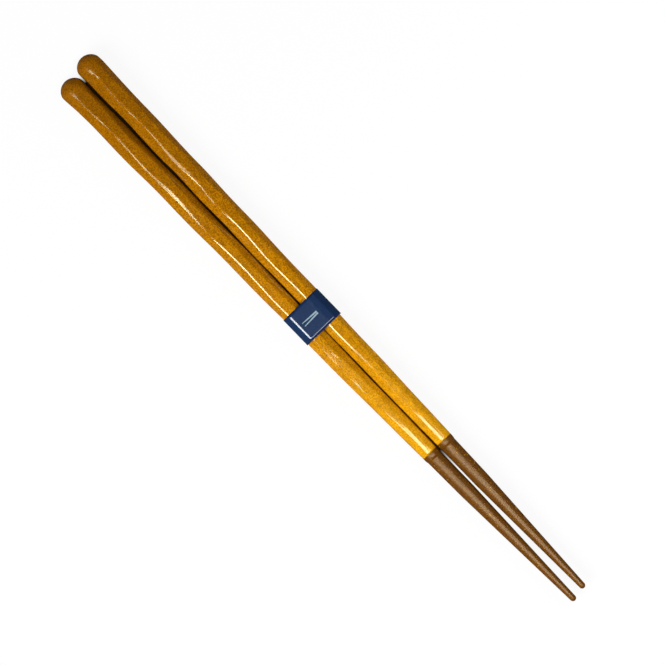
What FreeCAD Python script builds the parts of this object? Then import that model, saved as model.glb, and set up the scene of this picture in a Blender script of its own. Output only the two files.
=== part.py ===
"""A pair of hand-carved chopsticks held side by side by a paper band.

Each stick is one piece: a rounded thick end, a handle carved into flats whose arrises wander from one knife
stroke to the next, a shoulder where the lacquer ends, and a bare turned tip that tapers to a rounded point.
The pair lies on a table, thick ends towards -X and tips towards +X. Lengths are in millimetres.
"""
import FreeCAD, Part
import math
import os

# Sticks, measured along their own axes from the thick end
left_length = 230.5
left_handle = 166.0
right_length = 229.6
right_handle = 164.2
end_diameter = 8.76
shoulder_diameter = 5.8
belly_swell = 0.25
belly_shift = 2.0
dome_radius = end_diameter / 2.0 + 0.03

# Carving: the flats are cut from carve_start on, and run out to round at the shoulder
carve_start = 1.5
carve_run_in = 8.0
carve_run_out = 38.0
arris_radius = 1.0
roundest_share = 0.6
bevels_per_arris = 3
swing_angle = 5.0
stroke_dip = 0.12
ridge_narrowest = 2.0
ridge_widest = 13.0

# Directions of the arrises round the stick, in degrees from straight up, positive to the left.
# The ridge has a narrow flat drawn along it, so it is two arrises close together.
ridge_direction = -18.0
side_directions = (30.0, 76.0, 126.0, 176.0, 226.0, 290.0)
phase_step = 0.382

# Bare tip
bead_diameter = 5.8
bead_width = 0.8
bead_length = 1.9
neck_diameter = 5.46
knee_distance = 17.0
knee_diameter = 5.16
tip_diameter = 2.04

# How the pair lies
tip_gap = 2.8
pair_clearance = 0.05
stagger = 1.8

# Paper band, wrapped round both sticks and glued in a lap underneath
band_start = 103.9
band_width = 10.9
paper_thickness = 0.15
band_clearance = 0.05
lap_width = 7.0

# Number of outlines that a handle is lofted through
outline_count = 30

# Each stick's own carving: its side, its lengths, how far it is drawn towards the tips, how it is turned about
# its axis at the thick end and how much its flats turn along the handle (degrees), where the strokes on its
# top flat are deepest, how the other flats' strokes are set against those, and where its ridge is cut blunt
STICKS = {
    "chopstick_left": {
        "side": 1, "length": left_length, "handle": left_handle, "drawn": 0.0, "roll": 12.5,
        "twist": -16.0, "phase": 0.0, "strokes": (18.0, 43.0, 62.0, 87.0, 118.0, 150.0), "blunt": (33.0, 59.0),
    },
    "chopstick_right": {
        "side": -1, "length": right_length, "handle": right_handle, "drawn": stagger, "roll": 11.0,
        "twist": -29.0, "phase": 0.21, "strokes": (15.0, 43.0, 71.0, 103.0, 140.0), "blunt": (36.0, 63.0),
    },
}


def smooth_step(t):
    """Rise from 0 to 1 with level ends."""
    t = min(max(t, 0.0), 1.0)
    return t * t * (3.0 - 2.0 * t)


def blank_radius(stick, x):
    """Radius of a stick's blank at x: an even taper with a low belly towards the shoulder."""
    t = min(max(x / stick["handle"], 0.0), 1.0)
    taper = end_diameter + (shoulder_diameter - end_diameter) * t
    return taper / 2.0 + belly_swell * math.sin(math.pi * t ** belly_shift)


def carving(stick, x):
    """How fully a stick's flats are cut at x, from 0 (round) to 1."""
    run_in = smooth_step((x - carve_start) / carve_run_in)
    run_out = smooth_step((stick["handle"] - x) / carve_run_out)
    return run_in * run_out


def rounding(stick, x):
    """Radius of a stick's arrises at x, which grows to most of the stick's own where it is round."""
    full = roundest_share * blank_radius(stick, x)
    return full + (arris_radius - full) * carving(stick, x)


def stroke_phase(stick, x):
    """Strokes counted along the handle: a whole number where a stroke on the top flat is deepest."""
    centres = stick["strokes"]
    index = sum(1 for centre in centres[1:-1] if x > centre)
    return index + (x - centres[index]) / (centres[index + 1] - centres[index])


def ridge_angle(stick, x):
    """Angle between the two edges of the narrow flat along the ridge at x."""
    start, end = stick["blunt"]
    t = min(max((x - start) / (end - start), 0.0), 1.0)
    return ridge_narrowest + (ridge_widest - ridge_narrowest) * math.sin(math.pi * t) ** 2


def arris_centres(stick, x):
    """Centres of the arrises' roundings at x, as (y, z) from the stick's axis, going round from the ridge."""
    cut = carving(stick, x)
    phase = stroke_phase(stick, x) + stick["phase"]
    roll = stick["roll"] + stick["twist"] * x / stick["handle"]
    half = ridge_angle(stick, x) / 2.0
    arrises = [(0, ridge_direction - half), (0, ridge_direction + half)]
    arrises += enumerate(side_directions, 1)
    centres = []
    for number, direction in arrises:
        turn = 2.0 * math.pi * (phase + number * phase_step)
        dip = cut * stroke_dip * (0.5 - 0.5 * math.sin(turn))
        radius = blank_radius(stick, x) - rounding(stick, x) - dip
        heading = math.radians(direction + roll - cut * swing_angle * math.cos(turn))
        centres.append((radius * math.sin(heading), radius * math.cos(heading)))
    return centres


def reach(stick, x, direction):
    """How far the handle's outline at x reaches from the stick's axis along a (y, z) direction."""
    furthest = max(y * direction[0] + z * direction[1] for y, z in arris_centres(stick, x))
    return furthest + rounding(stick, x)


def outward(start, end):
    """Unit normal, pointing out of the stick, of the flat from one (y, z) point to the next."""
    across, up = end[0] - start[0], end[1] - start[1]
    length = math.hypot(across, up)
    return (-up / length, across / length)


def outline(stick, x):
    """Closed outline of the handle at x: broad flats, and between them arrises eased by narrow bevels."""
    centres = arris_centres(stick, x)
    radius = rounding(stick, x)
    points = []
    for index, (y, z) in enumerate(centres):
        arriving = outward(centres[index - 1], (y, z))
        leaving = outward((y, z), centres[(index + 1) % len(centres)])
        heading = math.atan2(arriving[0], arriving[1])
        turn = (math.atan2(leaving[0], leaving[1]) - heading) % (2.0 * math.pi)
        for bevel in range(bevels_per_arris + 1):
            angle = heading + turn * bevel / bevels_per_arris
            points.append(FreeCAD.Vector(x, y + radius * math.sin(angle), z + radius * math.cos(angle)))
    return Part.makePolygon(points + points[:1])


def line(start, end):
    """Straight edge between two (x, radius) points."""
    points = [FreeCAD.Vector(x, 0, radius) for x, radius in (start, end)]
    return Part.LineSegment(*points).toShape()


def arc(start, corner, end):
    """Round edge between two (x, radius) points, bulging towards the corner outside it."""
    middle = []
    for first, outer, last in zip(start, corner, end):
        centre = first + last - outer
        middle.append(centre + (first + last - 2.0 * centre) * math.sqrt(0.5))
    points = [FreeCAD.Vector(x, 0, radius) for x, radius in (start, middle, end)]
    return Part.Arc(*points).toShape()


def turned(edges):
    """Solid turned about the stick's axis from a profile that starts and ends on it."""
    start = edges[0].Vertexes[0].Point
    end = edges[-1].Vertexes[-1].Point
    closed = Part.Wire(edges + [Part.LineSegment(end, start).toShape()])
    return Part.Face(closed).revolve(FreeCAD.Vector(0, 0, 0), FreeCAD.Vector(1, 0, 0), 360.0)


def handle_stations(stick):
    """Places along a stick's handle where its outlines are drawn."""
    return [stick["handle"] * index / (outline_count - 1) for index in range(outline_count)]


def carved_handle(stick):
    """Handle: a rod lofted through the carved outlines, rounded over at the thick end."""
    rod = Part.makeLoft([outline(stick, x) for x in handle_stations(stick)], True, False)
    dome = turned([
        arc((0, 0), (0, dome_radius), (dome_radius, dome_radius)),
        line((dome_radius, dome_radius), (stick["handle"], dome_radius)),
        line((stick["handle"], dome_radius), (stick["handle"], 0)),
    ])
    return rod.common(dome)


def bare_tip(stick):
    """Turned tip: bead at the lacquer's edge, neck, knee and rounded point."""
    handle = stick["handle"]
    bead = (handle + bead_width, bead_diameter / 2.0)
    neck = (handle + bead_length, neck_diameter / 2.0)
    knee = (handle + knee_distance, knee_diameter / 2.0)
    point = (stick["length"] - tip_diameter / 2.0, tip_diameter / 2.0)
    return turned([
        line((handle, 0), (handle, bead[1])),
        line((handle, bead[1]), bead),
        arc(bead, (bead[0], neck[1]), neck),
        line(neck, knee),
        line(knee, point),
        arc(point, (stick["length"], point[1]), (stick["length"], 0)),
    ])


def stick_spacing():
    """Distances between the axes at the thick ends and at the points, with the handles all but touching."""
    left, right = STICKS["chopstick_left"], STICKS["chopstick_right"]
    at_points = tip_gap + tip_diameter
    at_ends = 0.0
    for x in handle_stations(left)[1:]:
        facing = reach(left, x, (-1, 0)) + reach(right, x - stagger, (1, 0))
        needed = max(facing, bead_diameter) + pair_clearance
        share = x / left_length
        at_ends = max(at_ends, (needed - at_points * share) / (1.0 - share))
    return at_ends, at_points


def band_stations(stick):
    """Places along a stick at the paper band's two edges and between them."""
    start = band_start - stick["drawn"]
    return [start + band_width * share for share in (0.0, 0.25, 0.5, 0.75, 1.0)]


def axis_at(stick, x):
    """A stick's axis at x as (y, z), laid level with its lowest arris centre at height 0 under the band."""
    at_ends, at_points = stick_spacing()
    spacing = at_ends + (at_points - at_ends) * (x + stick["drawn"]) / left_length
    lowest = min(z for place in band_stations(stick) for y, z in arris_centres(stick, place))
    return stick["side"] * spacing / 2.0, -lowest


def convex_hull(points):
    """Corners of the tightest outline round (y, z) points, going round anticlockwise."""
    ordered = sorted(points)
    corners = []
    for run in (ordered, ordered[::-1]):
        side = []
        for y, z in run:
            while len(side) > 1:
                (y0, z0), (y1, z1) = side[-2:]
                if (y1 - y0) * (z - z0) > (z1 - z0) * (y - y0):
                    break
                side.pop()
            side.append((y, z))
        corners += side[:-1]
    return corners


def band_fold():
    """Arrises that the paper is folded round, and how far outside them its inner face has to pass."""
    corners = []
    bend = 0.0
    for stick in STICKS.values():
        for x in band_stations(stick):
            y, z = axis_at(stick, x)
            corners += [(y + across, z + up) for across, up in arris_centres(stick, x)]
            bend = max(bend, rounding(stick, x))
    return convex_hull(corners), bend + band_clearance


def table_height(bend):
    """Height of the table below the lowest arrises: the bend, the paper and its lap lie between them."""
    return -(bend + 2.0 * paper_thickness)


def fall(stick, table):
    """How much a stick's axis falls for each millimetre of length, with its thick end on the table."""
    middle = band_stations(stick)[2]
    height = axis_at(stick, middle)[1]
    resting = range(math.floor(dome_radius), math.floor(middle - band_width))
    return max((table + reach(stick, x, (0, -1)) - height) / (middle - x) for x in resting)


def lay(body, stick, table):
    """Move a stick from its own axis to its place in the pair."""
    slope = fall(stick, table)
    middle = band_stations(stick)[2]
    start_y, height = axis_at(stick, 0.0)
    end_y = axis_at(stick, stick["length"])[0]
    start = FreeCAD.Vector(stick["drawn"], start_y, height + slope * middle)
    along = FreeCAD.Vector(stick["length"], end_y - start_y, -slope * stick["length"])
    turn = FreeCAD.Rotation(FreeCAD.Vector(1, 0, 0), along)
    return body.transformed(FreeCAD.Placement(start, turn).Matrix, True)


def paper_loop(corners, distance):
    """Closed outline of the wrapped paper, a distance outside the arrises that it is folded round."""
    points = [FreeCAD.Vector(band_start, y, z) for y, z in corners]
    return Part.Face(Part.makePolygon(points + points[:1]).makeOffset2D(distance))


def paper_band(corners, bend):
    """Paper strip wrapped round both sticks, with its glued lap underneath."""
    along = FreeCAD.Vector(band_width, 0, 0)
    outer = paper_loop(corners, bend + paper_thickness).extrude(along)
    inner = paper_loop(corners, bend).extrude(along)
    corner = FreeCAD.Vector(band_start, -lap_width / 2.0, table_height(bend))
    lap = Part.makeBox(band_width, lap_width, paper_thickness, corner)
    return outer.cut(inner).fuse(lap).removeSplitter()


def pair():
    """All pieces by name, laid on the table with the origin under the middle of the pair."""
    corners, bend = band_fold()
    table = table_height(bend)
    pieces = {"paper_band": paper_band(corners, bend)}
    for name, stick in STICKS.items():
        pieces[name] = lay(carved_handle(stick).fuse(bare_tip(stick)), stick, table)
    box = Part.makeCompound(list(pieces.values())).optimalBoundingBox()
    origin = FreeCAD.Vector(box.Center.x, box.Center.y, box.ZMin)
    for piece in pieces.values():
        piece.translate(-origin)
    return pieces


os.makedirs("parts", exist_ok=True)
for name, piece in pair().items():
    piece.exportStep("parts/" + name + ".step")
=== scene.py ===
"""A pair of hand-carved, lacquered chopsticks in a paper band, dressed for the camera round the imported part.

The sticks and the band follow the part's own formulas, with finer outlines. Lengths are in metres, in the
part's frame: thick ends towards -X, tips towards +X, and the table at height 0.
"""
import math

import bpy
import numpy as np
from bpy.props import FloatProperty, FloatVectorProperty, PointerProperty
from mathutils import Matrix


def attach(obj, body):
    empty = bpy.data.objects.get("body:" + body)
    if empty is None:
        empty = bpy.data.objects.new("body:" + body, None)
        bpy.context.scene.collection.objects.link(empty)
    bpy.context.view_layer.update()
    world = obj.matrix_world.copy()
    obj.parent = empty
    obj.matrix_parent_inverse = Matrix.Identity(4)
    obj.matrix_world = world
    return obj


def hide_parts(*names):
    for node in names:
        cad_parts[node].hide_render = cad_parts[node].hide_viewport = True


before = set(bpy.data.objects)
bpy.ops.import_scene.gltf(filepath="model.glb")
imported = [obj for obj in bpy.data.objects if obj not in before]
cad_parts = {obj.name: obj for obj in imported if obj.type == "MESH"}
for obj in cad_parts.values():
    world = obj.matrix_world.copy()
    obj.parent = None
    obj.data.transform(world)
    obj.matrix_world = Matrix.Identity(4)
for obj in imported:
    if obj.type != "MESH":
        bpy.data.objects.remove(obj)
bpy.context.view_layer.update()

bl_info = {
    "name": "Banded chopsticks",
    "version": (1, 0, 0),
    "blender": (4, 5, 0),
    "location": "3D View > Sidebar > Chopsticks",
    "description": "Makes a pair of hand-carved lacquered chopsticks held by a paper band",
    "category": "Add Mesh",
}

# Directions of the arrises round a stick, in degrees from straight up, positive towards +Y. The ridge has a
# narrow flat drawn along it, so it is two arrises close together, from 2 to 13 degrees apart.
RIDGE_DIRECTION = -18.0
RIDGE_NARROWEST = 2.0
RIDGE_WIDEST = 13.0
SIDE_DIRECTIONS = (30.0, 76.0, 126.0, 176.0, 226.0, 290.0)

# How far a flat's strokes are set on from those of the flat before it, in strokes
PHASE_STEP = 0.382

# Each stick under its node's name in the frame: its side, the names of its two lengths, how many staggers it
# is drawn towards the tips, how it is turned about its axis at the thick end and how much its flats turn
# along the handle (degrees), how far its strokes are set on, in strokes, the places that they are counted
# from, where its ridge is cut blunt, and where the lacquer on the ridge is bright
STICKS = {
    "chopstick_left": {
        "side": 1, "length": "left_length", "handle": "left_handle", "drawn": 0.0,
        "roll": 12.5, "twist": -16.0, "phase": 0.0,
        "strokes": (0.018, 0.043, 0.062, 0.087, 0.118, 0.150), "blunt": (0.033, 0.059),
        "bright": ((0.006, 0.012), (0.020, 0.034), (0.058, 0.121), (0.134, 0.166)),
    },
    "chopstick_right": {
        "side": -1, "length": "right_length", "handle": "right_handle", "drawn": 1.0,
        "roll": 11.0, "twist": -29.0, "phase": 0.21,
        "strokes": (0.015, 0.043, 0.071, 0.103, 0.140), "blunt": (0.036, 0.063),
        "bright": ((0.017, 0.026), (0.031, 0.038), (0.062, 0.118), (0.124, 0.166)),
    },
}

# Where the carving starts, and over what lengths it comes in at the thick end and goes out at the shoulder
CARVE_START = 0.0015
CARVE_RUN_IN = 0.008
CARVE_RUN_OUT = 0.038

# Arrises' rounding where nothing is cut, as a share of the blank's radius
ROUNDEST_SHARE = 0.93

# Ball at the thick end: how far it stands clear of the blank, how softly the flats run out into it, and how
# far along the stick they are drawn in, as a share of its radius
DOME_MARGIN = 0.00003
DOME_SOFTNESS = 0.00012
DOME_REACH = 1.4

# Rim where the lacquer stops: its rounded lip, its width, and where it has fallen to the neck
LIP_LENGTH = 0.00022
LIP_DROP = 0.0001
BEAD_WIDTH = 0.0008
BEAD_LENGTH = 0.0019

# Room between a stick and the paper, and between the two handles
BAND_CLEARANCE = 0.00005
PAIR_CLEARANCE = 0.00005

# Where along a stick its height over the table is first tried, and how far on it is tried again
REST_START = 0.004
REST_STEP = 0.001

# How far before the lap the paper's outer end starts to climb on to it, and over what length it climbs
RAMP_LEAD = 0.0012
RAMP_LENGTH = 0.001

# Length over which the lacquer on the ridge turns from dull to bright
BRIGHT_EDGE = 0.002

# Points over a flat, over an arris, over a bend of the paper and across it, and their distance along it
FACET_STEPS = 4
ARRIS_STEPS = 7
BEND_STEPS = 7
BAND_COLUMNS = 13
PATH_STEP = 0.00025

# The paper counts as level where its square direction points up by more than this
LEVEL_ENOUGH = 0.98

# A ring counts as being at the lacquer's edge when it is this close
ROUND_OFF = 1e-7

# The two printed strokes: how each leans, how far it is set aside, its half width and how that tapers
MARK_LEAN = 0.05
MARK_ASIDE = 0.00045
MARK_HALF_WIDTH = 0.00020
MARK_TAPER = -0.028

# Painted shadow: a dark strip of floor deep in the gap between the sticks, where next to no light gets in: how
# far it goes to each side of the middle, and where along the sticks it comes in and goes out
GAP_HALF_WIDTH = 0.0016
GAP_START = (-0.1125, -0.1095)
GAP_END = (0.052, 0.060)

# Lamps: direction round the sticks in degrees from straight up, distance, width along the sticks, depth
# across them, radiance, and the place along the sticks that each is aimed at. The first three light the part
# and stay out of its gloss; the others show in the gloss alone.
BODY_LAMPS = {
    "key": (-45.0, 1.0, 0.60, 0.50, 10.0, 0.0),
    "top": (0.0, 1.0, 0.50, 0.50, 5.2, 0.15),
    "fill": (55.0, 0.25, 0.20, 0.20, 1.6, 0.09),
}
SHINE_LAMPS = {
    "shine_shoulder": (-1.0, 1.0, 0.18, 1.20, 14.0, 0.230),
    "shine_start": (-10.0, 1.0, 0.040, 0.60, 14.0, 0.120),
    "shine_ridge": (-33.0, 1.0, 0.120, 0.66, 24.0, -0.020),
    "shine_end": (-33.0, 1.0, 0.030, 0.60, 12.0, -0.142),
}

# Half the floor's side, and the light of the surroundings on the part and in its gloss
FLOOR_REACH = 3.0
SURROUNDINGS = 0.155
SURROUNDINGS_IN_GLOSS = 0.015

# Camera: the width of what it sees, its lens and sensor in millimetres, its place and its turn in degrees. It
# looks straight down, and its distance is counted from the height of the sticks' widest part.
VIEW_WIDTH = 0.20975
LENS = 200.0
SENSOR = 36.0
WIDEST_HEIGHT = 0.0045
CAMERA_PLACE = (0.00165, 0.00117)
CAMERA_TURN = 45.974


def length(name, description, default):
    """A length property in metres."""
    return FloatProperty(name=name, description=description, default=default, min=0.0, precision=5,
                         subtype="DISTANCE", unit="LENGTH")


def colour(name, description, default):
    """A colour property, linear red, green and blue."""
    return FloatVectorProperty(name=name, description=description, default=default, size=3, min=0.0, max=1.0,
                               subtype="COLOR")


class ChopstickSizes(bpy.types.PropertyGroup):
    """Sizes of one stick and of the pair."""
    left_length: length("Left stick's length", "From the thick end to the point", 0.2305)
    left_handle: length("Left stick's handle", "Lacquered, carved part", 0.166)
    right_length: length("Right stick's length", "From the thick end to the point", 0.2296)
    right_handle: length("Right stick's handle", "Lacquered, carved part", 0.1642)
    end_diameter: length("End diameter", "Blank's diameter at the thick end", 0.00876)
    shoulder_diameter: length("Shoulder diameter", "Blank's diameter at the lacquer's edge", 0.0058)
    belly_swell: length("Belly swell", "How far the taper bulges", 0.00025)
    arris_radius: length("Arris radius", "Rounding between two flats", 0.0010)
    stroke_dip: length("Stroke dip", "How deep a knife stroke cuts", 0.00012)
    bead_diameter: length("Bead diameter", "Rim where the lacquer stops", 0.0058)
    neck_diameter: length("Neck diameter", "Just behind the rim", 0.00546)
    knee_distance: length("Knee distance", "From the lacquer's edge to where the tip tapers faster", 0.017)
    knee_diameter: length("Knee diameter", "Where the tip tapers faster", 0.00516)
    tip_diameter: length("Tip diameter", "Just behind the rounded point", 0.00204)
    tip_gap: length("Tip gap", "Between the two points", 0.0028)
    stagger: length("Stagger", "How far the right stick is drawn towards the tips", 0.0018)
    swing_angle: FloatProperty(name="Swing angle", description="How far an arris wanders round the stick",
                               default=math.radians(5.0), subtype="ANGLE", unit="ROTATION")


class BandSizes(bpy.types.PropertyGroup):
    """Sizes of the paper band."""
    band_start: length("Band start", "From the left stick's thick end to the band", 0.1039)
    band_width: length("Band width", "Along the sticks", 0.0109)
    paper_thickness: length("Paper thickness", "One layer", 0.00015)
    lap_width: length("Lap width", "Glued lap under the pair", 0.0070)
    mark_length: length("Mark length", "Two printed strokes on the band's top", 0.0060)


class FinishColours(bpy.types.PropertyGroup):
    """Colours of the finishes."""
    lacquer_end: colour("Lacquer, thick end", "Lacquer over the darkest wood", (0.330, 0.120, 0.0012))
    lacquer_grip: colour("Lacquer, grip", "Lacquer a third of the way along", (0.480, 0.184, 0.0014))
    lacquer_middle: colour("Lacquer, middle", "Lacquer past the middle of the handle", (0.640, 0.258, 0.0020))
    lacquer_shoulder: colour("Lacquer, shoulder", "Lacquer at its edge", (0.920, 0.430, 0.0060))
    lacquer_mottle: colour("Lacquer, mottle", "Darker wood that shows through", (0.150, 0.048, 0.0008))
    lacquer_speck: colour("Lacquer, speck", "Few dark specks in the lacquer", (0.070, 0.022, 0.002))
    tip_coat: colour("Tip coat", "Dull coat on the tips", (0.170, 0.060, 0.0028))
    tip_grain: colour("Tip grain", "Darker grain in the tips' coat", (0.075, 0.024, 0.0025))
    tip_patch: colour("Tip patch", "Lighter patches in the tips' coat", (0.190, 0.070, 0.0060))
    tip_fleck: colour("Tip fleck", "Golden flecks in the tips' coat", (0.420, 0.200, 0.0080))
    # painted shade: the sticks' colour deep in the gap between them, where their own shade falls
    painted_gap_shade: colour("Deep gap", "Sticks where next to no light gets in", (0.030, 0.010, 0.002))
    paper_print: colour("Paper", "Printed colour of the band", (0.0075, 0.0255, 0.0800))
    paper_core: colour("Paper core", "Cut edges of the paper", (0.42, 0.47, 0.52))
    paper_mark: colour("Mark", "Printed strokes", (0.29, 0.41, 0.46))
    floor: colour("Floor", "Plain pale floor", (0.80, 0.80, 0.80))
    floor_tone: colour("Floor tone", "Slight clouds in the floor", (0.86, 0.86, 0.86))
    # painted shadow on the floor deep in the gap between the sticks
    painted_floor_shadow: colour("Floor in the gap", "Floor between the sticks", (0.040, 0.016, 0.004))


def smooth_step(t):
    """Rise from 0 to 1 with level ends, for each value of t."""
    t = np.clip(t, 0.0, 1.0)
    return t * t * (3.0 - 2.0 * t)


def handle_of(sizes, stick):
    """A stick's lacquered length."""
    return getattr(sizes, stick["handle"])


def length_of(sizes, stick):
    """A stick's whole length."""
    return getattr(sizes, stick["length"])


def blank_radius(sizes, stick, x):
    """Radius of the blank at x: an even taper plus a low belly, sin(pi t^2), where t is x over the handle."""
    t = np.clip(x / handle_of(sizes, stick), 0.0, 1.0)
    taper = sizes.end_diameter + (sizes.shoulder_diameter - sizes.end_diameter) * t
    return taper / 2.0 + sizes.belly_swell * np.sin(np.pi * t ** 2.0)


def carving(sizes, stick, x):
    """How fully the flats are cut at x: a smooth rise at the thick end times a fall at the shoulder."""
    run_in = smooth_step((x - CARVE_START) / CARVE_RUN_IN)
    run_out = smooth_step((handle_of(sizes, stick) - x) / CARVE_RUN_OUT)
    return run_in * run_out


def rounding(sizes, stick, x):
    """Radius of the arrises at x: nearly the blank's own where nothing is cut, arris_radius where all is."""
    full = ROUNDEST_SHARE * blank_radius(sizes, stick, x)
    return full + (sizes.arris_radius - full) * carving(sizes, stick, x)


def arris_centres(sizes, stick, x):
    """Centres of the arrises' roundings, shape (stations, arrises, 2), as y and z from the stick's axis.

    An arris stands at its own direction, turned by the stick's roll and twist, and swings to and fro with
    the strokes as a cosine; its distance from the axis dips with the strokes as a sine.
    """
    x = np.asarray(x, float)[:, None]
    centres = np.array(stick["strokes"])
    phase = np.interp(x, centres, np.arange(len(centres)))
    before, after = centres[1] - centres[0], centres[-1] - centres[-2]
    phase = phase + np.minimum(x - centres[0], 0.0) / before + np.maximum(x - centres[-1], 0.0) / after
    phase = phase + stick["phase"]
    start, end = stick["blunt"]
    t = np.clip((x - start) / (end - start), 0.0, 1.0)
    half = (RIDGE_NARROWEST + (RIDGE_WIDEST - RIDGE_NARROWEST) * np.sin(np.pi * t) ** 2) / 2.0
    sides = np.broadcast_to(SIDE_DIRECTIONS, (len(x), len(SIDE_DIRECTIONS)))
    directions = np.hstack([RIDGE_DIRECTION - half, RIDGE_DIRECTION + half, sides])
    number = np.array([0, 0, *range(1, len(SIDE_DIRECTIONS) + 1)])[None, :]
    turn = 2.0 * np.pi * (phase + number * PHASE_STEP)
    cut = carving(sizes, stick, x)
    dip = cut * sizes.stroke_dip * (0.5 - 0.5 * np.sin(turn))
    radius = blank_radius(sizes, stick, x) - rounding(sizes, stick, x) - dip
    roll = stick["roll"] + stick["twist"] * x / handle_of(sizes, stick)
    heading = np.radians(directions + roll) - cut * sizes.swing_angle * np.cos(turn)
    return np.stack([radius * np.sin(heading), radius * np.cos(heading)], axis=2)


def reach(sizes, stick, x, direction):
    """How far the handle's outline reaches from the axis along a (y, z) direction, at each x."""
    centres = arris_centres(sizes, stick, x)
    return (centres @ np.array(direction)).max(axis=1) + rounding(sizes, stick, np.asarray(x, float))


def carved_outline(sizes, stick, x):
    """Points round the handle at each x, shape (stations, points, 2), and how fully each lies on the ridge.

    Each arris is an arc about its centre, from the direction square to the flat before it to the one square
    to the flat after it; each flat is the straight run between two arcs. The ridge counts in full on its two
    arrises and the narrow flat between them, and a little at the edges of the flat after them.
    """
    centres = arris_centres(sizes, stick, x)
    before, after = np.roll(centres, 1, axis=1), np.roll(centres, -1, axis=1)
    arriving = np.arctan2(-(centres - before)[..., 1], (centres - before)[..., 0])
    leaving = np.arctan2(-(after - centres)[..., 1], (after - centres)[..., 0])
    turn = (leaving - arriving) % (2.0 * np.pi)
    share = np.linspace(0.0, 1.0, ARRIS_STEPS)
    angle = arriving[..., None] + turn[..., None] * share
    radius = rounding(sizes, stick, x)[:, None, None]
    normal = np.stack([np.sin(angle), np.cos(angle)], axis=-1)
    arc = centres[:, :, None, :] + radius[..., None] * normal
    start, end = arc[:, :, -1:, :], np.roll(arc, -1, axis=1)[:, :, :1, :]
    along = (np.arange(1, FACET_STEPS + 1) / (FACET_STEPS + 1))[None, None, :, None]
    flat = start + (end - start) * along
    points = np.concatenate([arc, flat], axis=2)
    fading = np.abs(np.linspace(-1.0, 1.0, FACET_STEPS + 2))[1:-1] ** 2
    near = np.concatenate([np.ones(ARRIS_STEPS), fading])
    on_ridge = np.zeros(centres.shape[1])
    on_ridge[:2] = 1.0
    ridge = (on_ridge[:, None] * near[None, :]).ravel()
    ridge[ARRIS_STEPS:ARRIS_STEPS + FACET_STEPS] = 1.0
    return points.reshape(len(x), -1, 2), ridge


def stick_spacing(sizes):
    """Distances between the axes at the thick ends and at the points, with the handles all but touching."""
    left, right = STICKS["chopstick_left"], STICKS["chopstick_right"]
    at_points = sizes.tip_gap + sizes.tip_diameter
    x = np.linspace(0.0, sizes.left_handle, 120)[3:]
    facing = reach(sizes, left, x, (-1, 0)) + reach(sizes, right, x - sizes.stagger, (1, 0))
    needed = np.maximum(facing, sizes.bead_diameter) + PAIR_CLEARANCE
    share = x / sizes.left_length
    return ((needed - at_points * share) / (1.0 - share)).max(), at_points


def band_stations(sizes, band, stick):
    """Five places along a stick, from one edge of the paper band to the other."""
    return band.band_start - stick["drawn"] * sizes.stagger + band.band_width * np.linspace(0.0, 1.0, 5)


def axis_at(sizes, band, stick, x):
    """A stick's axis at x as (y, z), laid level with its lowest arris centre at height 0 under the band."""
    at_ends, at_points = stick_spacing(sizes)
    share = (x + stick["drawn"] * sizes.stagger) / sizes.left_length
    spacing = at_ends + (at_points - at_ends) * share
    lowest = arris_centres(sizes, stick, band_stations(sizes, band, stick))[:, :, 1].min()
    return np.array([stick["side"] * spacing / 2.0, -lowest])


def convex_hull(points):
    """Corners of the tightest outline round (y, z) points, going round anticlockwise."""
    ordered = sorted(map(tuple, points))
    corners = []
    for run in (ordered, ordered[::-1]):
        side = []
        for y, z in run:
            while len(side) > 1:
                (y0, z0), (y1, z1) = side[-2:]
                if (y1 - y0) * (z - z0) > (z1 - z0) * (y - y0):
                    break
                side.pop()
            side.append((y, z))
        corners += side[:-1]
    return np.array(corners)


def band_fold(sizes, band):
    """Arris centres that the paper is folded round, and how far outside them its inner face has to pass."""
    corners = []
    bend = 0.0
    for stick in STICKS.values():
        x = band_stations(sizes, band, stick)
        axes = np.array([axis_at(sizes, band, stick, place) for place in x])
        corners.append((axes[:, None, :] + arris_centres(sizes, stick, x)).reshape(-1, 2))
        bend = max(bend, rounding(sizes, stick, x).max())
    return convex_hull(np.vstack(corners)), bend + BAND_CLEARANCE


def stick_profile(sizes, stick):
    """Stations and radii of the unlacquered tip: rim, neck, knee and a ball-shaped point."""
    handle, end = handle_of(sizes, stick), length_of(sizes, stick)
    rim, neck = sizes.bead_diameter / 2.0, sizes.neck_diameter / 2.0
    angle = np.linspace(0.0, np.pi / 2.0, 9)
    fall = BEAD_LENGTH - BEAD_WIDTH
    lift = np.linspace(0.0, np.pi / 2.0, 5)[:-1]
    level = LIP_LENGTH + (BEAD_WIDTH - LIP_LENGTH) * np.array([0.0, 0.5])
    x = [handle + LIP_LENGTH * (1.0 - np.cos(lift)), handle + level]
    r = [rim - LIP_DROP + LIP_DROP * np.sin(lift), np.array([rim, rim])]
    x.append(handle + BEAD_WIDTH + fall * np.sin(angle))
    r.append(neck + (rim - neck) * np.cos(angle))
    knee = handle + sizes.knee_distance
    tip = sizes.tip_diameter / 2.0
    t = np.linspace(0.0, 1.0, 30)[1:]
    x.append(handle + BEAD_LENGTH + (knee - handle - BEAD_LENGTH) * t)
    r.append(neck + (sizes.knee_diameter / 2.0 - neck) * t)
    t = np.linspace(0.0, 1.0, 70)[1:]
    x.append(knee + (end - tip - knee) * t)
    r.append(sizes.knee_diameter / 2.0 + (tip - sizes.knee_diameter / 2.0) * t)
    angle = np.linspace(0.0, np.pi / 2.0, 10)[1:-1]
    x.append(end - tip + tip * np.sin(angle))
    r.append(tip * np.cos(angle))
    return np.concatenate(x), np.concatenate(r)


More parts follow.
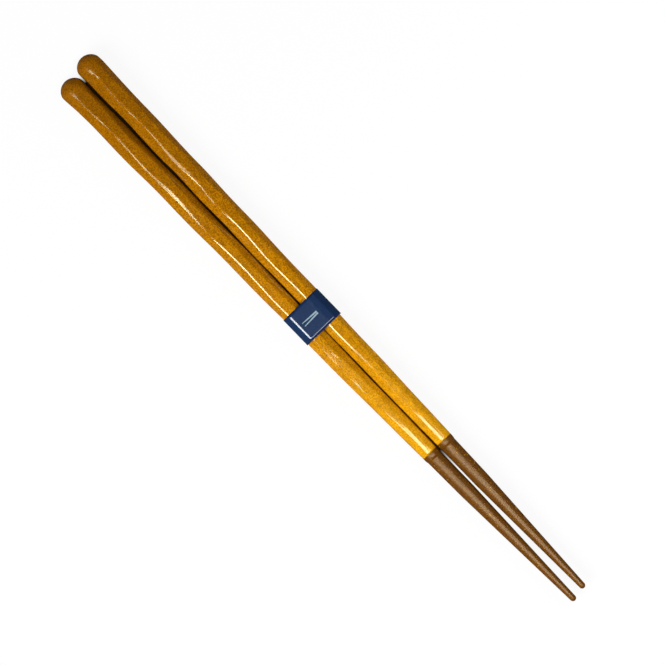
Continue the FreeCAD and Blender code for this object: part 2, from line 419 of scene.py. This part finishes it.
def stick_grid(sizes, stick):
    """One stick along its own axis: rings of points (stations, points, 3), its two end points and its ridge.

    The handle's outlines are drawn in under a ball of the blank's radius at the thick end: a point's distance
    from the axis is the soft minimum of its own, a, and the ball's, b, that is -s log(exp(-a/s) + exp(-b/s)),
    where s is the softness. The tip is turned: a circle at each station.
    """
    ball = sizes.end_diameter / 2.0 + DOME_MARGIN
    angle = np.linspace(0.0, np.pi / 2.0, 16)[1:]
    x = np.concatenate([ball * (1.0 - np.cos(angle)), np.linspace(ball, handle_of(sizes, stick), 400)[1:]])
    outline, ridge = carved_outline(sizes, stick, x)
    radius = np.linalg.norm(outline, axis=2, keepdims=True)
    limit = np.sqrt(np.maximum(ball ** 2 - np.maximum(ball - x, 0.0) ** 2, 0.0))
    limit = np.where(x < ball, limit, 1.0)[:, None, None]
    own, of_ball = np.exp(-(radius - ball) / DOME_SOFTNESS), np.exp(-(limit - ball) / DOME_SOFTNESS)
    lower = -DOME_SOFTNESS * np.log(own + of_ball) + ball
    drawn_in = np.minimum(lower, radius) / radius
    outline = outline * np.where(x[:, None, None] < ball * DOME_REACH, drawn_in, 1.0)
    tip_x, tip_r = stick_profile(sizes, stick)
    heading = np.arctan2(outline[-1, :, 0], outline[-1, :, 1])
    circle = np.stack([np.sin(heading), np.cos(heading)], axis=1)
    tip = tip_r[:, None, None] * circle[None]
    rings = np.concatenate([outline, tip])
    x = np.concatenate([x, tip_x])
    rings = np.concatenate([np.broadcast_to(x[:, None, None], rings.shape[:2] + (1,)), rings], axis=2)
    return rings, np.array([[0.0, 0.0, 0.0], [length_of(sizes, stick), 0.0, 0.0]]), ridge


def laid_sticks(sizes, band):
    """Both sticks' rings, end points, ridges and stations in place, and the shift that centres the pair.

    Each stick is leaned about Y and turned about Z from its own axis, so that its thick end comes down to the
    table while its arrises rest on the paper under the band.
    """
    bend = band_fold(sizes, band)[1]
    table = -(bend + 2.0 * band.paper_thickness)
    laid = {}
    for name, stick in STICKS.items():
        middle = band_stations(sizes, band, stick)[2]
        height = axis_at(sizes, band, stick, middle)[1]
        x = np.arange(REST_START, middle - band.band_width, REST_STEP)
        fall = ((table + reach(sizes, stick, x, (0, -1)) - height) / (middle - x)).max()
        start_y = axis_at(sizes, band, stick, 0.0)[0]
        whole = length_of(sizes, stick)
        end_y = axis_at(sizes, band, stick, whole)[0]
        along = np.array([whole, end_y - start_y, -fall * whole])
        along /= np.linalg.norm(along)
        axis = np.cross([1.0, 0.0, 0.0], along)
        skew = np.array([[0, -axis[2], axis[1]], [axis[2], 0, -axis[0]], [-axis[1], axis[0], 0]])
        turn = np.eye(3) + skew + skew @ skew / (1.0 + along[0])
        start = np.array([stick["drawn"] * sizes.stagger, start_y, height + fall * middle])
        rings, ends, ridge = stick_grid(sizes, stick)
        laid[name] = (rings @ turn.T + start, ends @ turn.T + start, ridge, rings[:, 0, 0])
    every = np.vstack([grid[0].reshape(-1, 3) for grid in laid.values()])
    low, high = every.min(axis=0), every.max(axis=0)
    shift = np.array([(low[0] + high[0]) / 2.0, (low[1] + high[1]) / 2.0, min(low[2], table)])
    return laid, shift


def new_piece(name, points, loops, sizes_of_faces, materials, slots, attributes):
    """Smooth-shaded mesh object from whole arrays, with its materials and a value for each point by name."""
    mesh = bpy.data.meshes.new(name)
    mesh.vertices.add(len(points))
    mesh.vertices.foreach_set("co", points.astype(np.float32).ravel())
    mesh.loops.add(len(loops))
    mesh.loops.foreach_set("vertex_index", loops.astype(np.int32))
    mesh.polygons.add(len(sizes_of_faces))
    starts = np.concatenate([[0], np.cumsum(sizes_of_faces)[:-1]]).astype(np.int32)
    mesh.polygons.foreach_set("loop_start", starts)
    for material in materials:
        mesh.materials.append(material)
    mesh.polygons.foreach_set("material_index", slots.astype(np.int32))
    mesh.update(calc_edges=True)
    mesh.polygons.foreach_set("use_smooth", np.ones(len(sizes_of_faces), bool))
    for label, values in attributes.items():
        attribute = mesh.attributes.new(label, "FLOAT", "POINT")
        attribute.data.foreach_set("value", values.astype(np.float32).ravel())
    if mesh.validate():
        raise RuntimeError(f"the mesh of {name} has faults")
    piece = bpy.data.objects.new(name, mesh)
    bpy.context.scene.collection.objects.link(piece)
    return piece


def ring_faces(ring_count, point_count):
    """Quads between neighbouring rings of a closed tube, as an array of four corners a row."""
    ring, point = np.meshgrid(np.arange(ring_count - 1), np.arange(point_count), indexing="ij")
    following = (point + 1) % point_count
    near, far = ring * point_count, (ring + 1) * point_count
    return np.stack([near + point, near + following, far + following, far + point], axis=-1).reshape(-1, 4)


def dullness(name, x, ridge, handle):
    """How dull the lacquer is at each point of the rings: in full on the ridge, between bright stretches."""
    bright = np.zeros_like(x)
    for low, high in STICKS[name]["bright"]:
        rise = smooth_step((x - low) / BRIGHT_EDGE + 0.5)
        fall = smooth_step((high - x) / BRIGHT_EDGE + 0.5)
        bright = np.maximum(bright, rise * fall)
    dull = (1.0 - bright) * (x < handle)
    return (dull[:, None] * ridge[None, :]).ravel()


def stick_piece(name, laid, shift, sizes, materials):
    """One stick as a closed skin: its rings joined by quads, with a fan of triangles at each end."""
    rings, ends, ridge, x = laid
    count, around = rings.shape[:2]
    points = np.vstack([rings.reshape(-1, 3), ends]) - shift
    quads = ring_faces(count, around)[:, ::-1]
    point = np.arange(around)
    following = (point + 1) % around
    first, last = count * around, count * around + 1
    start = np.stack([np.full(around, first), following, point], axis=1)[:, ::-1]
    base = (count - 1) * around
    end = np.stack([np.full(around, last), base + point, base + following], axis=1)[:, ::-1]
    loops = np.concatenate([quads.ravel(), start.ravel(), end.ravel()])
    corners = np.concatenate([np.full(len(quads), 4), np.full(2 * around, 3)])
    handle = handle_of(sizes, STICKS[name])
    turned = np.repeat(x[:-1] >= handle - ROUND_OFF, around)
    slots = np.concatenate([turned, np.zeros(around), np.ones(around)])
    along = np.concatenate([np.repeat(x, around), [0.0, x[-1]]]) / handle
    dulled = np.concatenate([dullness(name, x, ridge, handle), [0.0, 0.0]])
    piece = new_piece(name + "_dressed", points, loops, corners, materials, slots,
                      {"along": along, "dulled": dulled})
    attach(piece, "root")
    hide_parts(name)


def band_path(corners, lap, distance, thickness):
    """The paper's middle line from its inner end to its glued outer end, with its square directions.

    It runs round the corners at a distance, as an arc about each corner and a straight run between two, once
    and a lap further; over the last lap it stands one thickness further out. It also gives how much of the
    line is covered up to each point.
    """
    step = np.roll(corners, -1, axis=0) - corners
    normals = np.stack([step[:, 1], -step[:, 0]], axis=1) / np.linalg.norm(step, axis=1)[:, None]
    heading = np.unwrap(np.arctan2(normals[:, 1], normals[:, 0]))
    bottom = int(np.argmin(normals[:, 1]))
    points, squares = [], []
    count = len(corners)
    for turn in range(count + 1):
        index = (bottom + turn) % count
        run_start, run_end = corners[index], corners[(index + 1) % count]
        normal = normals[index]
        if turn == 0:
            run_start = np.array([-lap / 2.0, run_start[1]])
        if turn == count:
            run_end = np.array([lap / 2.0, run_end[1]])
        steps = max(2, int(np.linalg.norm(run_end - run_start) / PATH_STEP))
        share = np.linspace(0.0, 1.0, steps)[:, None]
        points.append(run_start + (run_end - run_start) * share)
        squares.append(np.repeat(normal[None], steps, axis=0))
        if turn < count:
            after = heading[(index + 1) % count]
            angle = (after - heading[index]) % (2.0 * np.pi)
            sweep = heading[index] + angle * np.linspace(0.0, 1.0, BEND_STEPS + 2)[1:-1]
            points.append(np.repeat(run_end[None], BEND_STEPS, axis=0))
            squares.append(np.stack([np.cos(sweep), np.sin(sweep)], axis=1))
    points, squares = np.vstack(points), np.vstack(squares)
    ring = points + squares * distance
    covered = np.concatenate([[0.0], np.cumsum(np.linalg.norm(np.diff(ring, axis=0), axis=1))])
    climb = smooth_step((covered - (covered[-1] - lap - RAMP_LEAD)) / RAMP_LENGTH)
    return points + squares * (distance + climb[:, None] * thickness), squares, covered


def band_piece(sizes, band, shift, materials):
    """Paper strip carried along its path: a thin closed box section swept from its inner end to its lap."""
    corners, bend = band_fold(sizes, band)
    thickness = band.paper_thickness
    path, squares, covered = band_path(corners, band.lap_width, bend + thickness / 2.0, thickness)
    across, half = np.linspace(0.0, 1.0, BAND_COLUMNS), np.full(BAND_COLUMNS, thickness / 2.0)
    section = np.concatenate([np.stack([across, half], axis=1), np.stack([across[::-1], -half], axis=1)])
    x = band.band_start + band.band_width * section[:, 0]
    outward = path[:, None, :] + squares[:, None, :] * section[None, :, 1, None]
    points = np.concatenate([np.broadcast_to(x[None, :, None], outward.shape[:2] + (1,)), outward], axis=2)
    count, around = points.shape[:2]
    flat = points.reshape(-1, 3) - shift
    quads = ring_faces(count, around)
    column = np.arange(BAND_COLUMNS - 1)
    cap = np.stack([column, column + 1, around - 2 - column, around - 1 - column], axis=1)
    caps = np.vstack([cap[:, ::-1], cap + (count - 1) * around])
    loops = np.concatenate([quads.ravel(), caps.ravel()])
    face_sizes = np.full(len(quads) + len(caps), 4)
    place = np.arange(around)
    edge = (place == BAND_COLUMNS - 1) | (place == around - 1)
    slots = np.concatenate([np.tile(edge, count - 1), np.ones(len(caps))])
    middle = covered[squares[:, 1] > LEVEL_ENOUGH].mean()
    piece = new_piece("paper_band_dressed", flat, loops, face_sizes, materials, slots, {
        "round": np.repeat(covered - middle, around),
        "across": np.tile(band.band_width * (section[:, 0] - 0.5), count),
        "outside": np.tile((section[:, 1] > 0).astype(float), count)})
    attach(piece, "root")
    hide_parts("paper_band")


def add_node(tree, kind, values=None, **settings):
    """Add a shader node. Values go to its inputs by name or number; a value that is a socket is linked."""
    node = tree.nodes.new(kind)
    for name, value in settings.items():
        setattr(node, name, value)
    for name, value in (values or {}).items():
        if isinstance(value, bpy.types.NodeSocket):
            tree.links.new(value, node.inputs[name])
        else:
            node.inputs[name].default_value = value
    return node


def new_material(name):
    """Empty node material with its output and one shader."""
    material = bpy.data.materials.new(name)
    material.use_nodes = True
    tree = material.node_tree
    tree.nodes.clear()
    output = add_node(tree, "ShaderNodeOutputMaterial", name="output")
    shader = add_node(tree, "ShaderNodeBsdfPrincipled")
    tree.links.new(shader.outputs["BSDF"], output.inputs["Surface"])
    return material, tree, shader


def math_node(tree, operation, first, second=0.0, third=0.0, clamp=False):
    """Result of one sum on sockets or numbers."""
    node = tree.nodes.new("ShaderNodeMath")
    node.operation = operation
    node.use_clamp = clamp
    for socket, value in zip(node.inputs, (first, second, third)):
        if isinstance(value, bpy.types.NodeSocket):
            tree.links.new(value, socket)
        else:
            socket.default_value = value
    return node.outputs[0]


def mix_colour(tree, share, first, second):
    """Blend of two colours or colour sockets."""
    node = tree.nodes.new("ShaderNodeMix")
    node.data_type = "RGBA"
    for socket, value in ((node.inputs[0], share), (node.inputs[6], first), (node.inputs[7], second)):
        if isinstance(value, bpy.types.NodeSocket):
            tree.links.new(value, socket)
        else:
            socket.default_value = value
    return node.outputs[2]


def opaque(colour_of):
    """A colour property as red, green, blue and full opacity."""
    return (*colour_of, 1.0)


def shade(colour_of, factor):
    """A colour property made darker or lighter by a factor, opaque."""
    return (*(value * factor for value in colour_of), 1.0)


def attribute(tree, name):
    """A number kept with the mesh's points."""
    return add_node(tree, "ShaderNodeAttribute", attribute_name=name).outputs["Fac"]


def noise(tree, place, scale, detail, roughness=0.5, stretch=(1.0, 1.0, 1.0)):
    """Cloudy pattern from 0 to 1, scale clouds a metre, drawn out along an axis by a stretch under 1."""
    if stretch != (1.0, 1.0, 1.0):
        place = add_node(tree, "ShaderNodeMapping", {"Vector": place, "Scale": stretch}).outputs[0]
    return add_node(tree, "ShaderNodeTexNoise", {
        "Vector": place, "Scale": scale, "Detail": detail, "Roughness": roughness}).outputs["Fac"]


def ramp(tree, share, stops):
    """Colour that changes through the stops, each a place from 0 to 1 and a colour."""
    node = add_node(tree, "ShaderNodeValToRGB", {"Fac": share})
    elements = node.color_ramp.elements
    elements[0].position, elements[0].color = stops[0]
    elements[1].position, elements[1].color = stops[-1]
    for place, value in stops[1:-1]:
        elements.new(place).color = value
    return node.outputs["Color"]


def spread(tree, value, low, high, to_low=0.0, to_high=1.0):
    """A number between low and high, spread over another range and held at its ends."""
    return add_node(tree, "ShaderNodeMapRange", {
        "Value": value, "From Min": low, "From Max": high, "To Min": to_low, "To Max": to_high}).outputs[0]


def gap_shade_share(tree):
    """Share of painted shade: 1 deep in the gap between the sticks, where next to no light gets in, and 0 in
    the open.
    """
    sky = add_node(tree, "ShaderNodeAmbientOcclusion", {"Distance": 0.005}, samples=8).outputs["AO"]
    return spread(tree, sky, 0.16, 0.55, 1.0, 0.0)


def lacquered_wood(tree, place, end_ball, colours):
    """The lacquer's colour: a slow change along the handle, then speckle, blotches, streaks and specks,
    painted shade deep in the gap between the sticks, and a darker tone over the ball at the thick end.
    """
    along = attribute(tree, "along")
    clouds = noise(tree, place, 90.0, 2.0)
    along = math_node(tree, "ADD", along, math_node(tree, "MULTIPLY_ADD", clouds, 0.12, -0.06), clamp=True)
    body = ramp(tree, along, [
        (0.0, opaque(colours.lacquer_end)), (0.30, opaque(colours.lacquer_grip)),
        (0.58, opaque(colours.lacquer_middle)), (1.0, opaque(colours.lacquer_shoulder))])
    mottle = opaque(colours.lacquer_mottle)
    depth = spread(tree, along, 0.5, 1.0, 0.70, 0.36)
    fine = spread(tree, noise(tree, place, 2300.0, 1.0, 0.7), 0.40, 0.58, 1.0, 0.0)
    body = mix_colour(tree, math_node(tree, "MULTIPLY", fine, depth), body, mottle)
    blotch = noise(tree, place, 380.0, 2.0)
    body = mix_colour(tree, spread(tree, blotch, 0.35, 0.65, 0.22, 0.0), body, mottle)
    streak = noise(tree, place, 1400.0, 2.0, stretch=(0.06, 1.0, 1.0))
    body = mix_colour(tree, spread(tree, streak, 0.3, 0.7, 0.12, 0.0), body, mottle)
    cells = add_node(tree, "ShaderNodeTexVoronoi", {"Vector": place, "Scale": 300.0, "Randomness": 1.0})
    draw = add_node(tree, "ShaderNodeSeparateColor", {"Color": cells.outputs["Color"]}).outputs[0]
    chosen = math_node(tree, "GREATER_THAN", draw, 0.90)
    dot = spread(tree, cells.outputs["Distance"], 0.05, 0.14, 0.75, 0.0)
    speck = math_node(tree, "MULTIPLY", chosen, dot)
    body = mix_colour(tree, speck, body, opaque(colours.lacquer_speck))
    # painted shade: the lacquer turns dark brown deep in the gap between the sticks
    body = mix_colour(tree, gap_shade_share(tree), body, opaque(colours.painted_gap_shade))
    # the ball at the thick end is made a little darker
    return mix_colour(tree, math_node(tree, "MULTIPLY", end_ball, 0.15), body, mottle)


def lacquer_material(colours):
    """Amber lacquer over mottled wood: darker and browner at the thick end, golden at the shoulder.

    It is glossy, with a slight ripple; darker and duller on the ball at the thick end, and duller in stretches
    of the ridge.
    """
    material, tree, shader = new_material("amber_lacquer")
    place = add_node(tree, "ShaderNodeTexCoord").outputs["Object"]
    end_ball = spread(tree, attribute(tree, "along"), 0.012, 0.045, 1.0, 0.0)
    tree.links.new(lacquered_wood(tree, place, end_ball, colours), shader.inputs["Base Color"])
    roughness = math_node(tree, "MULTIPLY_ADD", noise(tree, place, 700.0, 2.0), 0.02, 0.05)
    patches = spread(tree, noise(tree, place, 1300.0, 1.0), 0.3, 0.6, 0.5, 1.0)
    patchy = math_node(tree, "MULTIPLY", attribute(tree, "dulled"), patches)
    roughness = math_node(tree, "MULTIPLY_ADD", patchy, 0.07, roughness)
    roughness = math_node(tree, "MULTIPLY_ADD", end_ball, 0.05, roughness)
    tree.links.new(roughness, shader.inputs["Roughness"])
    ripple = noise(tree, place, 200.0, 1.0)
    bump = add_node(tree, "ShaderNodeBump", {"Height": ripple, "Strength": 1.0, "Distance": 0.000008})
    tree.links.new(bump.outputs[0], shader.inputs["Normal"])
    shader.inputs["IOR"].default_value = 1.48
    shader.inputs["Specular Tint"].default_value = (0.88, 1.0, 0.70, 1.0)
    return material


def tip_material(colours):
    """Dull brown non-slip coat with a fine grain, a few golden flecks, and painted shade deep in the gap
    between the sticks.
    """
    material, tree, shader = new_material("tip_coat")
    place = add_node(tree, "ShaderNodeTexCoord").outputs["Object"]
    fine = noise(tree, place, 3200.0, 2.0, 0.6)
    patch = noise(tree, place, 500.0, 3.0, 0.6)
    grain = spread(tree, fine, 0.35, 0.7)
    body = mix_colour(tree, grain, opaque(colours.tip_grain), opaque(colours.tip_coat))
    body = mix_colour(tree, spread(tree, patch, 0.35, 0.7, 0.0, 0.35), body, opaque(colours.tip_patch))
    flecks = spread(tree, noise(tree, place, 1500.0, 1.0, 0.4), 0.68, 0.78)
    body = mix_colour(tree, flecks, body, opaque(colours.tip_fleck))
    # painted shade: the tip coat turns dark brown deep in the gap between the sticks
    body = mix_colour(tree, gap_shade_share(tree), body, opaque(colours.painted_gap_shade))
    tree.links.new(body, shader.inputs["Base Color"])
    tree.links.new(spread(tree, fine, 0.3, 0.7, 0.20, 0.32), shader.inputs["Roughness"])
    bump = add_node(tree, "ShaderNodeBump", {"Height": fine, "Strength": 0.6, "Distance": 0.00002})
    tree.links.new(bump.outputs[0], shader.inputs["Normal"])
    shader.inputs["IOR"].default_value = 1.5
    shader.inputs["Specular IOR Level"].default_value = 0.23
    shader.inputs["Specular Tint"].default_value = (1.0, 0.88, 0.60, 1.0)
    return material


def stroke(tree, u, v, hand, half_length):
    """1 inside a slim stroke that tapers along u, leaned a little and set to one side in v by its hand."""
    centre = math_node(tree, "MULTIPLY_ADD", u, hand * MARK_LEAN, hand * MARK_ASIDE)
    side = math_node(tree, "ABSOLUTE", math_node(tree, "SUBTRACT", v, centre))
    width = math_node(tree, "MULTIPLY_ADD", u, MARK_TAPER, MARK_HALF_WIDTH)
    inside = math_node(tree, "LESS_THAN", side, width)
    ends = math_node(tree, "LESS_THAN", math_node(tree, "ABSOLUTE", u), half_length)
    return math_node(tree, "MULTIPLY", inside, ends)


def paper_material(colours, band):
    """Smooth printed paper in navy, with two pale strokes printed on the middle of its top."""
    material, tree, shader = new_material("navy_print")
    place = add_node(tree, "ShaderNodeTexCoord").outputs["Object"]
    u, v = attribute(tree, "round"), attribute(tree, "across")
    fibre = noise(tree, place, 2600.0, 3.0, 0.6)
    cloud = noise(tree, place, 300.0, 2.0)
    ink = colours.paper_print
    body = mix_colour(tree, spread(tree, fibre, 0.35, 0.65), shade(ink, 0.82), shade(ink, 1.12))
    body = mix_colour(tree, spread(tree, cloud, 0.3, 0.7, 0.0, 0.3), body, shade(ink, 0.8))
    half = band.mark_length / 2.0
    mark = math_node(tree, "ADD", stroke(tree, u, v, 1, half), stroke(tree, u, v, -1, half), clamp=True)
    mark = math_node(tree, "MULTIPLY", mark, attribute(tree, "outside"))
    mark = math_node(tree, "MULTIPLY", mark, spread(tree, fibre, 0.3, 0.55, 0.55, 0.95))
    body = mix_colour(tree, mark, body, opaque(colours.paper_mark))
    tree.links.new(body, shader.inputs["Base Color"])
    tree.links.new(spread(tree, fibre, 0.3, 0.7, 0.11, 0.15), shader.inputs["Roughness"])
    bump = add_node(tree, "ShaderNodeBump", {"Height": fibre, "Strength": 0.5, "Distance": 0.00001})
    tree.links.new(bump.outputs[0], shader.inputs["Normal"])
    return material


def edge_material(colours):
    """Pale core of the paper at its cut edges."""
    material, tree, shader = new_material("paper_core")
    place = add_node(tree, "ShaderNodeTexCoord").outputs["Object"]
    core = colours.paper_core
    body = mix_colour(tree, noise(tree, place, 4000.0, 2.0), opaque(core), shade(core, 0.7))
    tree.links.new(body, shader.inputs["Base Color"])
    shader.inputs["Roughness"].default_value = 0.7
    return material


def background_share(tree, share):
    """That share for rays from the camera, a hundredth of it off gloss or through glass, and else none."""
    path = add_node(tree, "ShaderNodeLightPath")
    other = math_node(tree, "MAXIMUM", path.outputs["Is Glossy Ray"], path.outputs["Is Transmission Ray"])
    seen = math_node(tree, "MAXIMUM", path.outputs["Is Camera Ray"], math_node(tree, "MULTIPLY", other, 0.01))
    return math_node(tree, "MULTIPLY", seen, share)


def outside_painted_shadow(tree, place):
    """1 on the open floor and 0 in the strip of painted shadow deep between the sticks, fading at the strip's
    two ends.
    """
    axes = add_node(tree, "ShaderNodeSeparateXYZ", {"Vector": place})
    aside = math_node(tree, "GREATER_THAN", math_node(tree, "ABSOLUTE", axes.outputs["Y"]), GAP_HALF_WIDTH)
    before = spread(tree, axes.outputs["X"], *GAP_START, 1.0, 0.0)
    beyond = spread(tree, axes.outputs["X"], *GAP_END)
    return math_node(tree, "MAXIMUM", aside, math_node(tree, "MAXIMUM", before, beyond))


def floor_material(colours):
    """Plain pale floor: nearly white to the camera, with a soft shadow, and a dark painted shadow between the
    sticks.

    The part's gloss hardly shows it, so that only the lamps draw highlights.
    """
    material, tree, shader = new_material("pale_floor")
    place = add_node(tree, "ShaderNodeTexCoord").outputs["Object"]
    tone = math_node(tree, "MULTIPLY", noise(tree, place, 3.0, 2.0), 0.02)
    body = mix_colour(tree, tone, opaque(colours.floor), opaque(colours.floor_tone))
    # painted shadow: the strip between the sticks is dark and gives no white glow
    clear = outside_painted_shadow(tree, place)
    body = mix_colour(tree, clear, opaque(colours.painted_floor_shadow), body)
    path = add_node(tree, "ShaderNodeLightPath")
    in_gloss = math_node(tree, "MULTIPLY", path.outputs["Is Glossy Ray"], 0.98)
    body = mix_colour(tree, in_gloss, body, (0.0, 0.0, 0.0, 1.0))
    tree.links.new(body, shader.inputs["Base Color"])
    shader.inputs["Roughness"].default_value = 0.9
    seen = math_node(tree, "MULTIPLY", background_share(tree, 0.9), clear)
    glow = add_node(tree, "ShaderNodeEmission", {"Color": (1.0, 1.0, 1.0, 1.0), "Strength": 1.0})
    mix = add_node(tree, "ShaderNodeMixShader", {0: seen, 1: shader.outputs[0], 2: glow.outputs[0]})
    tree.links.new(mix.outputs[0], tree.nodes["output"].inputs["Surface"])
    return material


def soft_lamp(name, direction, distance, width, depth, radiance, aim, diffuse=True, glossy=True):
    """Rectangular lamp of an even radiance, aimed at a place on the X axis.

    Its power is pi times its radiance times its area.
    """
    light = bpy.data.lights.new(name, "AREA")
    light.shape = "RECTANGLE"
    light.size, light.size_y = width, depth
    light.energy = math.pi * radiance * width * depth
    lamp = bpy.data.objects.new(name, light)
    bpy.context.scene.collection.objects.link(lamp)
    angle = math.radians(direction)
    lamp.location = (aim, distance * math.sin(angle), distance * math.cos(angle))
    lamp.rotation_euler = (-angle, 0.0, 0.0)
    lamp.visible_camera = False
    lamp.visible_diffuse = diffuse
    lamp.visible_glossy = glossy


def lay_floor(scene):
    """A wide level floor under the part."""
    mesh = bpy.data.meshes.new("floor")
    side = FLOOR_REACH
    corners = [(-side, -side, 0), (side, -side, 0), (side, side, 0), (-side, side, 0)]
    mesh.from_pydata(corners, [], [(0, 1, 2, 3)])
    mesh.materials.append(floor_material(scene.chopstick_colours))
    floor = bpy.data.objects.new("floor", mesh)
    scene.collection.objects.link(floor)


def light_surroundings(scene):
    """White where the camera sees past the floor, dim on the part, and dimmer still in its gloss."""
    world = bpy.data.worlds.new("surroundings")
    scene.world = world
    world.use_nodes = True
    tree = world.node_tree
    tree.nodes.clear()
    path = add_node(tree, "ShaderNodeLightPath")
    level = math_node(tree, "MULTIPLY_ADD", path.outputs["Is Glossy Ray"],
                      SURROUNDINGS_IN_GLOSS - SURROUNDINGS, SURROUNDINGS)
    dim = add_node(tree, "ShaderNodeBackground", {"Color": (1.0, 1.0, 1.0, 1.0), "Strength": level})
    white = add_node(tree, "ShaderNodeBackground", {"Color": (1.0, 1.0, 1.0, 1.0), "Strength": 1.0})
    mix = add_node(tree, "ShaderNodeMixShader", {
        0: path.outputs["Is Camera Ray"], 1: dim.outputs[0], 2: white.outputs[0]})
    output = add_node(tree, "ShaderNodeOutputWorld")
    tree.links.new(mix.outputs[0], output.inputs["Surface"])


def place_camera(scene):
    """The photo's camera: straight above the pair, turned so that the pair lies along the diagonal."""
    camera = bpy.data.objects.new("camera", bpy.data.cameras.new("camera"))
    scene.collection.objects.link(camera)
    camera.data.lens = LENS
    camera.data.sensor_width = SENSOR
    camera.data.clip_start, camera.data.clip_end = 0.05, 20.0
    camera.location = (*CAMERA_PLACE, VIEW_WIDTH * LENS / SENSOR + WIDEST_HEIGHT)
    camera.rotation_euler = (0.0, 0.0, math.radians(CAMERA_TURN))
    scene.camera = camera


class CHOPSTICKS_OT_sticks(bpy.types.Operator):
    """Carve both sticks and give them their lacquer and their dull tips"""
    bl_idname = "chopsticks.sticks"
    bl_label = "Make the sticks"

    def execute(self, context):
        sizes, band = context.scene.chopstick_sizes, context.scene.chopstick_band
        colours = context.scene.chopstick_colours
        materials = [lacquer_material(colours), tip_material(colours)]
        laid, shift = laid_sticks(sizes, band)
        for name, grid in laid.items():
            stick_piece(name, grid, shift, sizes, materials)
        return {"FINISHED"}


class CHOPSTICKS_OT_band(bpy.types.Operator):
    """Wrap the paper band round both sticks"""
    bl_idname = "chopsticks.band"
    bl_label = "Make the band"

    def execute(self, context):
        sizes, band = context.scene.chopstick_sizes, context.scene.chopstick_band
        colours = context.scene.chopstick_colours
        shift = laid_sticks(sizes, band)[1]
        band_piece(sizes, band, shift, [paper_material(colours, band), edge_material(colours)])
        return {"FINISHED"}


class CHOPSTICKS_OT_stage(bpy.types.Operator):
    """Set up the floor, the lamps, the surroundings and the camera"""
    bl_idname = "chopsticks.stage"
    bl_label = "Make the stage"

    def execute(self, context):
        scene = context.scene
        lay_floor(scene)
        for name, lamp in BODY_LAMPS.items():
            soft_lamp(name, *lamp, glossy=False)
        for name, lamp in SHINE_LAMPS.items():
            soft_lamp(name, *lamp, diffuse=False)
        light_surroundings(scene)
        place_camera(scene)
        scene.view_settings.view_transform = "Standard"
        return {"FINISHED"}


class CHOPSTICKS_PT_panel(bpy.types.Panel):
    """Lists the steps in the order in which they are run, then the sizes and the colours"""
    bl_idname = "CHOPSTICKS_PT_panel"
    bl_label = "Chopsticks"
    bl_space_type = "VIEW_3D"
    bl_region_type = "UI"
    bl_category = "Chopsticks"

    def draw(self, context):
        for step in STEPS:
            self.layout.operator(step.bl_idname)
        scene = context.scene
        for group in (scene.chopstick_sizes, scene.chopstick_band, scene.chopstick_colours):
            for name in group.__annotations__:
                self.layout.prop(group, name)


STEPS = (CHOPSTICKS_OT_sticks, CHOPSTICKS_OT_band, CHOPSTICKS_OT_stage)
CLASSES = (ChopstickSizes, BandSizes, FinishColours, *STEPS, CHOPSTICKS_PT_panel)


def register():
    """Make the classes known, and keep one set of sizes and colours with the scene."""
    for known in CLASSES:
        bpy.utils.register_class(known)
    bpy.types.Scene.chopstick_sizes = PointerProperty(type=ChopstickSizes)
    bpy.types.Scene.chopstick_band = PointerProperty(type=BandSizes)
    bpy.types.Scene.chopstick_colours = PointerProperty(type=FinishColours)


def unregister():
    """Take back what register() did."""
    del bpy.types.Scene.chopstick_colours
    del bpy.types.Scene.chopstick_band
    del bpy.types.Scene.chopstick_sizes
    for known in reversed(CLASSES):
        bpy.utils.unregister_class(known)


def main():
    """Run every step in order."""
    register()
    bpy.ops.chopsticks.sticks()
    bpy.ops.chopsticks.band()
    bpy.ops.chopsticks.stage()


if __name__ == "__main__":
    main()
